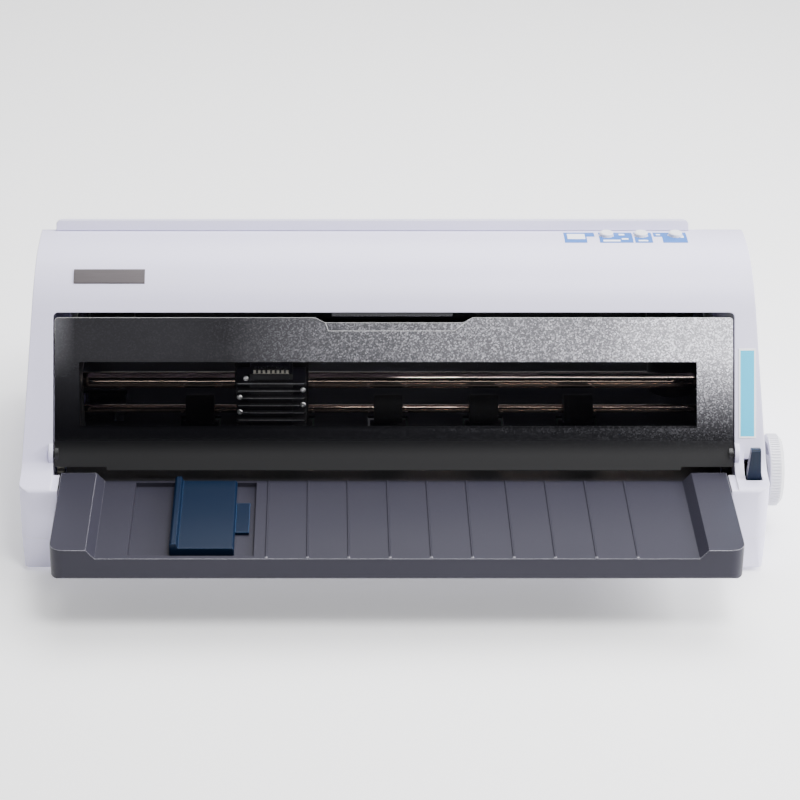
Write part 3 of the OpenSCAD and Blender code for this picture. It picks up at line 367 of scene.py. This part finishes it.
def bolt_head(bm, place, radius, height):
    """A pan head with a conical recess that faces forward."""
    sides = 24
    hub_level = 0.45
    # Each ring's share of the radius and of the height, from the recess to the seat
    rings = ((0.35, 1.0), (0.8, 0.9), (1.0, 0.55), (1.0, 0.0))
    loops = []
    for reach, level in rings:
        loops.append([])
        for k in range(sides):
            angle = math.tau * k / sides
            loops[-1].append(bm.verts.new(place + Vector((
                radius * reach * math.cos(angle), -height * level,
                radius * reach * math.sin(angle)))))
    for inner, outer in zip(loops, loops[1:]):
        for k in range(sides):
            after = (k + 1) % sides
            bm.faces.new((inner[k], inner[after], outer[after], outer[k]))
    # The recess sinks from the inner ring to the hub
    hub = bm.verts.new(place + Vector((0, -height * hub_level, 0)))
    for k in range(sides):
        bm.faces.new((loops[0][(k + 1) % sides], loops[0][k], hub))


def dress(material, *nodes, width=0.0, segments=3):
    """Gives solids their material and their edge rounding."""
    for node in nodes:
        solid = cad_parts[node]
        solid.data.materials.clear()
        solid.data.materials.append(material)
        if width:
            soften(solid, width, segments)


# ---------- operators ----------

class PRINTER_OT_stage(bpy.types.Operator):
    """Sets up the floor, the lights and the camera"""
    bl_idname = "printer.stage"
    bl_label = "Stage"

    # Name, place in printer millimetres, size in metres, power in watts
    LAMPS = (
        ("KeyRight", (1000, -150, 620), (0.5, 0.5), 20.0),
        ("Overhead", (250, 520, 1200), (1.2, 0.9), 30.0),
        ("FrontTop", (260, -560, 1500), (0.45, 0.45), 20.0),
        ("ShaftStrip", (60, -1400, 300), (1.4, 0.03), 1.4),
    )
    LAMP_TARGET = (0, 90, 60)
    PITCH = math.radians(28)

    def execute(self, context):
        self.add_floor(context)
        context.scene.world = self.studio_world()
        for name, place, side, power in self.LAMPS:
            light = bpy.data.lights.new(name, "AREA")
            light.shape = "RECTANGLE"
            light.size, light.size_y = side
            light.energy = power
            lamp = bpy.data.objects.new(name, light)
            lamp.location = spot(*place)
            aim = spot(*self.LAMP_TARGET) - lamp.location
            lamp.rotation_euler = aim.to_track_quat("-Z", "Y").to_euler()
            context.scene.collection.objects.link(lamp)
        self.add_camera(context)
        return {"FINISHED"}

    def add_floor(self, context):
        reach = 6
        corners = [(-reach, -reach, 0), (reach, -reach, 0), (reach, reach, 0), (-reach, reach, 0)]
        mesh = bpy.data.meshes.new("Floor")
        mesh.from_pydata(corners, [], [(0, 1, 2, 3)])
        floor = bpy.data.objects.new("Floor", mesh)
        context.scene.collection.objects.link(floor)
        pale, _, shader = new_material("PaleFloor")
        shader.inputs["Base Color"].default_value = (0.9, 0.9, 0.91, 1)
        shader.inputs["Roughness"].default_value = 0.7
        shader.inputs["Emission Color"].default_value = (1, 1, 1, 1)
        shader.inputs["Emission Strength"].default_value = 0.42
        mesh.materials.append(pale)

    def studio_world(self):
        """A pale studio with a dark backdrop low in front, which the glossy cover faces."""
        world = bpy.data.worlds.new("Studio")
        world.use_nodes = True
        tree = world.node_tree
        around = add_node(tree, "ShaderNodeTexCoord").outputs["Generated"]
        backdrop = (0, -math.cos(self.PITCH), math.sin(self.PITCH))
        facing = dot_product(tree, around, backdrop)
        shade = ramp(tree, facing, 0.6, 0.93, 0.75, 0.02, "SMOOTHSTEP")
        bright_side = (0.8, 0.35, 0.48)
        fall = ramp(tree, dot_product(tree, around, bright_side), -0.6, 0.7, 0.12)
        background = tree.nodes["Background"]
        background.inputs["Color"].default_value = (1, 1, 1, 1)
        tree.links.new(maths(tree, "MULTIPLY", shade, fall), background.inputs["Strength"])
        return world

    def add_camera(self, context):
        focal_px = 2780
        principal_px = 325
        data = bpy.data.cameras.new("Camera")
        data.sensor_width = 36
        data.lens = focal_px / IMAGE_SIDE * data.sensor_width
        data.shift_x = (IMAGE_SIDE / 2 - principal_px) / IMAGE_SIDE
        data.clip_end = 20
        camera = bpy.data.objects.new("Camera", data)
        camera.location = spot(-41, -1420.5, 872.3)
        camera.rotation_euler = (math.radians(90) - self.PITCH, 0, 0)
        context.scene.collection.objects.link(camera)
        context.scene.camera = camera


class PRINTER_OT_case(bpy.types.Operator):
    """Finishes the white casings, covers, tray and feet"""
    bl_idname = "printer.case"
    bl_label = "Case"

    def execute(self, context):
        finishes, sizes = context.scene.printer_finishes, context.scene.printer_sizes
        white = moulding("CaseWhite", finishes.case_white, 0.34, 1100.0, 0.08, 0.03,
                         edge=sizes.edge_round, lit=LIT_WHITE)
        # The finger tab behind the cover's notch gets a painted shade, as it sits back behind the
        # cover
        repaint(white, TAB_PAINTED_SHADE, region(white.node_tree, *FINGER_TAB))
        slate = moulding("TraySlate", finishes.tray_slate, 0.36, 1100.0, 0.1, 0.08,
                         edge=0.6 * MM, lit=LIT_SLATE, specular=0.16)
        # The ribs on the tray's floor get a painted shade, dark lines on their upper edges, and
        # its outer edges a painted highlight, bright lines
        tree = slate.node_tree
        edge_highlight_and_rib_shade = mix_colour(tree, LIT_SLATE, RIB_PAINTED_SHADE, region(tree, *TRAY_FLOOR))
        tree.links.new(edge_highlight_and_rib_shade, tree.nodes["LitTint"].inputs["B"])
        rubber = moulding("FootRubber", (0.02, 0.02, 0.02), 0.7, 700.0, 0.2)
        dress(white, "lower_case", "upper_case", "rear_cover", width=sizes.edge_round)
        dress(slate, "sheet_tray", width=sizes.edge_round * 0.6)
        dress(rubber, "feet", width=sizes.edge_round * 0.5)
        dress(rubber, "platen_bar")
        return {"FINISHED"}


class PRINTER_OT_front_cover(bpy.types.Operator):
    """Gives the smoked cover its clear window, its speckled print with a painted sheen, and a
    painted highlight along its top edge
    """
    bl_idname = "printer.front_cover"
    bl_label = "Front Cover"

    def execute(self, context):
        finishes, sizes = context.scene.printer_finishes, context.scene.printer_sizes
        smoked = self.smoked(finishes.cover_smoke, sizes.speckle)
        dress(smoked, "front_cover", width=0.5 * MM)
        return {"FINISHED"}

    def smoked(self, tint, speckle):
        material, tree, shader = new_material("SmokedCover")
        place = object_point(tree)
        axes = axes_of(tree, place)
        x, z = maths(tree, "SUBTRACT", axes["X"], MID_X), axes["Z"]
        printed = maths(tree, "SUBTRACT", 1, self.window(tree, x, z))
        print_and_sheen = maths(tree, "MULTIPLY", self.print_with_sheen(tree, place, x, z, speckle), printed)
        # The speckled print and its painted sheen lighten the smoked tint
        surface = mix_colour(tree, tint, SPECKLE_WHITE, maths(tree, "MINIMUM", print_and_sheen, 1))
        # A painted highlight along the cover's top edge
        top_edge_highlight = maths(tree, "MULTIPLY", lit_edges(tree, 0.5 * MM), ramp(tree, z, 0.125, 0.134))
        tree.links.new(mix_colour(tree, surface, LIT_SMOKE, top_edge_highlight), shader.inputs["Base Color"])
        # The window is glossy and clear, the print matt, and most so at the lower lip
        matt = maths(tree, "MULTIPLY_ADD", printed, ramp(tree, z, 0.066, 0.078, 0.5, 0.1), 0.03)
        tree.links.new(matt, shader.inputs["Roughness"])
        tree.links.new(ramp(tree, printed, 0, 1, 0.16, 0.985), shader.inputs["Alpha"])
        return material

    def window(self, tree, x, z):
        """A mask of the clear window."""
        sides = []
        for value, (start, end) in ((x, WINDOW_X), (z, WINDOW_Z)):
            sides.append(maths(tree, "MULTIPLY", maths(tree, "GREATER_THAN", value, start),
                               maths(tree, "LESS_THAN", value, end)))
        return maths(tree, "MULTIPLY", *sides)

    def print_with_sheen(self, tree, place, x, z, speckle):
        """How much speckled print shows at a point. The speckles are print; their rise to the
        right and towards the top is a painted sheen, as the light falls, and the strip at the left
        edge near the top is a painted highlight.
        """
        # Painted sheen: more speckle to the right and towards the top
        across = maths(tree, "ADD", ramp(tree, x, -0.1, 0.15, 0.025, 0.36),
                       ramp(tree, x, 0.125, 0.2, 0, 0.42))
        upward = maths(tree, "POWER", ramp(tree, z, 0.062, 0.118), 2.6)
        # A painted highlight down the cover's left edge, near the top
        left_edge_highlight = maths(tree, "MULTIPLY", ramp(tree, x, -0.203, -0.19, 0.09, 0),
                          ramp(tree, z, 0.105, 0.135))
        density_and_sheen = maths(tree, "ADD", maths(tree, "MULTIPLY", across, upward), left_edge_highlight)
        dots = add_node(tree, "ShaderNodeTexVoronoi", {"Vector": place, "Scale": 1 / speckle})
        grains = add_node(tree, "ShaderNodeSeparateColor", {0: dots.outputs["Color"]})
        few_bright = maths(tree, "POWER", grains.outputs["Red"], 3)
        contrast = maths(tree, "MULTIPLY_ADD", few_bright, 1.7, -0.43)
        # The speckles fade out to the left, a painted sheen
        speckles_and_sheen = maths(tree, "MULTIPLY_ADD", contrast, ramp(tree, x, -0.12, -0.03, 0.15, 1), 1)
        patchy = ramp(tree, noise(tree, place, 14, 3), 0.3, 0.7, 0.85, 1.1)
        return maths(tree, "MULTIPLY", maths(tree, "MULTIPLY", density_and_sheen, speckles_and_sheen), patchy)


class PRINTER_OT_guide_and_lever(bpy.types.Operator):
    """Finishes the blue edge guide and the release lever"""
    bl_idname = "printer.guide_and_lever"
    bl_label = "Guide and Lever"

    def execute(self, context):
        finishes = context.scene.printer_finishes
        blue = moulding("GuideBlue", finishes.guide_blue, 0.3, 1300.0, 0.03, 0.05,
                        edge=0.4 * MM, lit=LIT_BLUE, specular=0.2)
        dress(blue, "edge_guide", width=0.35 * MM)
        dress(blue, "release_lever", width=0.5 * MM)
        return {"FINISHED"}


class PRINTER_OT_controls(bpy.types.Operator):
    """Finishes the buttons, the knob, the rocker and the printed plates"""
    bl_idname = "printer.controls"
    bl_label = "Controls"

    # Left, front, right and rear ends in printer millimetres
    PATCHES = (
        (103.9, 114.2, 122.5, 122.3), (103.9, 105.9, 117.5, 114.2), (125.1, 105.9, 145.4, 122.3),
        (146.5, 105.9, 157.2, 122.3), (158.3, 114.2, 163.3, 122.3), (163.3, 105.9, 178.3, 122.3))
    MARKS = (
        (105.9, 110.4, 116.6, 119.2), (137.4, 116.5, 140.8, 119.4), (127.3, 107.4, 137.6, 109.4),
        (138.6, 109.6, 142.6, 111.8), (148.6, 107.6, 154.4, 109.2), (160.0, 116.6, 162.4, 118.8),
        (174.6, 112.4, 176.4, 118.0))
    MARK_LIFT = 1.6
    PRINT_STEP = 0.7
    ABOVE_CASE = 200
    CROWN_Z = 0.16
    LABEL_MARGIN = 0.9

    def execute(self, context):
        finishes = context.scene.printer_finishes
        white = moulding("ButtonWhite", (0.82, 0.82, 0.86), 0.25, 900.0, 0.03, 0.02, coat=0.3)
        dress(white, "pause_button", "feed_button", "load_button", width=0.3 * MM)
        knob = moulding("KnobWhite", (0.7, 0.7, 0.74), 0.4, 900.0, 0.1, 0.05)
        dress(knob, "feed_knob", width=0.15 * MM, segments=2)
        dress(moulding("RockerBlack", (0.015, 0.015, 0.015), 0.3, 900.0, 0.04), "power_switch")
        dress(metal("NamePlate", finishes.plate_brown, 0.35), "nameplate", width=0.15 * MM)
        dress(self.bordered_label(finishes.label_cyan), "side_label")
        dress(moulding("PanelBoard", (0.05, 0.2, 0.12), 0.4), "control_panel")
        self.add_prints(finishes, context.scene.printer_sizes)
        return {"FINISHED"}

    def bordered_label(self, tint):
        """A coloured label within a white border."""
        label = moulding("SideLabel", (0.9, 0.9, 0.92), 0.35, 500.0, 0.02, 0.03)
        low, high = ([value / MM for value in corner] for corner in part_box("side_label"))
        side = MID_X / MM
        margin = self.LABEL_MARGIN
        repaint(label, tint, region(
            label.node_tree, ("X", low[0] - side + margin, high[0] - side - margin),
            ("Z", low[2] + margin, high[2] - margin)))
        return label

    def add_prints(self, finishes, sizes):
        """The printed patches around the buttons, which lie on the crown of the case."""
        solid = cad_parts["upper_case"]
        crown = BVHTree.FromPolygons([solid.matrix_world @ v.co for v in solid.data.vertices],
                                     [list(p.vertices) for p in solid.data.polygons])
        blue = moulding("PrintBlue", finishes.print_blue, 0.4, 700.0, 0.02, 0.05)
        pale = moulding("PrintPale", (0.86, 0.87, 0.93), 0.4, 700.0, 0.02, 0.02)
        prints = (("print_patches", blue, self.PATCHES, sizes.print_lift),
                  ("print_marks", pale, self.MARKS, sizes.print_lift * self.MARK_LIFT))
        for name, tint, rects, lift in prints:
            def build(bm):
                self.lay(bm, crown, rects, lift)
            piece_from(name, build, "root", tint)

    def lay(self, bm, surface, rects, lift):
        """Grids over rectangles, dropped on the surface and left out where they miss its crown."""
        fall = Vector((0, 0, -1))
        for x0, y0, x1, y1 in rects:
            across, along = (max(1, round((end - start) / self.PRINT_STEP))
                             for start, end in ((x0, x1), (y0, y1)))
            rows = []
            for j in range(along + 1):
                rows.append([])
                for i in range(across + 1):
                    above = spot(x0 + (x1 - x0) * i / across, y0 + (y1 - y0) * j / along,
                                 self.ABOVE_CASE)
                    place, normal, _, _ = surface.ray_cast(above, fall)
                    on_crown = place is not None and place.z > self.CROWN_Z
                    rows[-1].append(bm.verts.new(place + normal * lift) if on_crown else None)
            for lower, upper in zip(rows, rows[1:]):
                for i in range(across):
                    corners = (lower[i], lower[i + 1], upper[i + 1], upper[i])
                    if None not in corners:
                        bm.faces.new(corners)


class PRINTER_OT_mechanism(bpy.types.Operator):
    """Finishes the frame, the shafts, the carriage and the paper feed"""
    bl_idname = "printer.mechanism"
    bl_label = "Mechanism"

    SHAFT_RADIUS = 2.9 * MM
    # The print head's mid plane and its fins' front face, in printer millimetres
    HEAD_X = -73.5
    HEAD_Y = 62.0
    # The screws' places across and up from the mid plane
    SCREWS = ((-19, 74), (-19, 84), (19.2, 79), (19.2, 89), (-15, 96.8))

    def execute(self, context):
        zinc = metal("ZincSheet", (0.42, 0.42, 0.44), 0.35, 0.03)
        ground = metal("GroundShaft", GROUND_STEEL, -0.06, 0.001)
        black = moulding("MechanismBlack", (0.012, 0.012, 0.014), 0.4, 900.0, 0.08)
        rubber = moulding("RollerRubber", RUBBER_BLACK, 0.62, 1200.0, 0.15)
        nylon = moulding("Nylon", (0.68, 0.65, 0.56), 0.4, 900.0, 0.05)
        can = moulding("MotorCan", (0.03, 0.03, 0.033), 0.35, 500.0, 0.05)
        board = moulding("BoardGreen", (0.01, 0.06, 0.03), 0.35, 600.0, 0.05)
        cast = moulding("HeadCasting", (0.02, 0.02, 0.022), 0.32, 1500.0, 0.1)
        dress(zinc, "left_side_frame", "right_side_frame", "frame_pan", "belt_rail",
              "lever_bracket", "interface_ports", "case_screws")
        dress(black, "paper_table", "ribbon_cartridge", "carriage", "power_inlet",
              "print_ribbon", "carriage_belt")
        dress(rubber, "front_feed_roller", "rear_feed_roller", width=0.2 * MM, segments=2)
        for node in ("front_pinch_rollers", "rear_pinch_rollers"):
            dress(self.rubber_on_steel(node), node, width=0.2 * MM, segments=2)
        dress(nylon, "front_feed_gear", "rear_feed_gear", "idler_gear", "motor_pinion")
        dress(can, "carriage_motor", "feed_motor")
        dress(ground, "carriage_shaft", "motor_pulley", "idler_pulley")
        dress(cast, "print_head", width=0.15 * MM, segments=2)
        dress(board, "main_board", "power_supply")
        self.add_head_details(nylon)
        return {"FINISHED"}

    def rubber_on_steel(self, node):
        """Rubber sleeves on a ground shaft, told apart by the distance from the axis."""
        material = moulding("Sleeves_" + node, RUBBER_BLACK, 0.62, 1200.0, 0.1)
        tree = material.node_tree
        shader = tree.nodes["Principled BSDF"]
        low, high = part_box(node)
        flat = add_node(tree, "ShaderNodeVectorMath", {0: object_point(tree), 1: (0, 1, 1)},
                        operation="MULTIPLY").outputs[0]
        axis = (0, (low[1] + high[1]) / 2, (low[2] + high[2]) / 2)
        away = add_node(tree, "ShaderNodeVectorMath", {0: flat, 1: axis}, operation="DISTANCE")
        steel = maths(tree, "LESS_THAN", away.outputs["Value"], self.SHAFT_RADIUS)
        repaint(material, GROUND_STEEL, steel)
        rough = shader.inputs["Roughness"].links[0].from_socket
        tree.links.new(ramp(tree, steel, 0, 1, rough, 0.06), shader.inputs["Roughness"])
        tree.links.new(steel, shader.inputs["Metallic"])
        return material

    def add_head_details(self, nylon):
        """The comb of the print head's connector, bright strips on the fin edges as painted
        highlights, and the screws.
        """
        centre, front = self.HEAD_X, self.HEAD_Y
        bright = metal("FinEdgeHighlight", (0.45, 0.45, 0.47), 0.2, 0.02)
        steel = metal("ScrewSteel", (0.75, 0.75, 0.76), 0.22, 0.03)

        def comb(bm):
            teeth, pitch, tooth_width = 8, 2.8, 1.5
            back, face = front + 3.4, front + 4.0
            foot, root, tip = 98.8, 100.2, 102.4
            add_box(bm, (centre - 11, back, foot), (centre + 11, face, root))
            for i in range(teeth):
                left = centre - 10.6 + i * pitch
                add_box(bm, (left, back, root), (left + tooth_width, face, tip))

        # Bright metal strips along the fins' front edges, painted highlights
        def edges(bm):
            fins, pitch, half = 7, 5, 20
            for i in range(fins):
                z = 64 + pitch * i
                add_box(bm, (centre - half, front - 0.25, z + 0.9),
                        (centre + half, front + 0.1, z + 1.5))

        def screws(bm):
            radius, height = 1.7 * MM, 1.2 * MM
            for x, z in self.SCREWS:
                bolt_head(bm, spot(centre + x, front - 0.2, z + 2.2), radius, height)

        piece_from("head_connector_comb", comb, "head_carriage", nylon, 0.15 * MM)
        piece_from("head_fin_edges", edges, "head_carriage", bright, 0.08 * MM)
        piece_from("head_screws", screws, "head_carriage", steel, 0.1 * MM)


class PRINTER_PT_panel(bpy.types.Panel):
    """Lists the printer's sizes, finishes and pieces"""
    bl_idname = "PRINTER_PT_panel"
    bl_label = "Printer"
    bl_space_type = "VIEW_3D"
    bl_region_type = "UI"
    bl_category = "Printer"

    def draw(self, context):
        for group in (context.scene.printer_finishes, context.scene.printer_sizes):
            for key in group.bl_rna.properties.keys():
                if key not in ("rna_type", "name"):
                    self.layout.prop(group, key)
        for operator in PIECES:
            self.layout.operator(operator.bl_idname)


PIECES = (PRINTER_OT_stage, PRINTER_OT_case, PRINTER_OT_front_cover, PRINTER_OT_guide_and_lever,
          PRINTER_OT_controls, PRINTER_OT_mechanism)
CLASSES = (PrinterFinishes, PrinterSizes, *PIECES, PRINTER_PT_panel)


def register():
    for cls in CLASSES:
        bpy.utils.register_class(cls)
    bpy.types.Scene.printer_finishes = PointerProperty(type=PrinterFinishes)
    bpy.types.Scene.printer_sizes = PointerProperty(type=PrinterSizes)


def unregister():
    del bpy.types.Scene.printer_sizes
    del bpy.types.Scene.printer_finishes
    for cls in reversed(CLASSES):
        bpy.utils.unregister_class(cls)


def main():
    register()
    bpy.ops.printer.stage()
    bpy.ops.printer.case()
    bpy.ops.printer.front_cover()
    bpy.ops.printer.guide_and_lever()
    bpy.ops.printer.controls()
    bpy.ops.printer.mechanism()


if __name__ == "__main__":
    main()
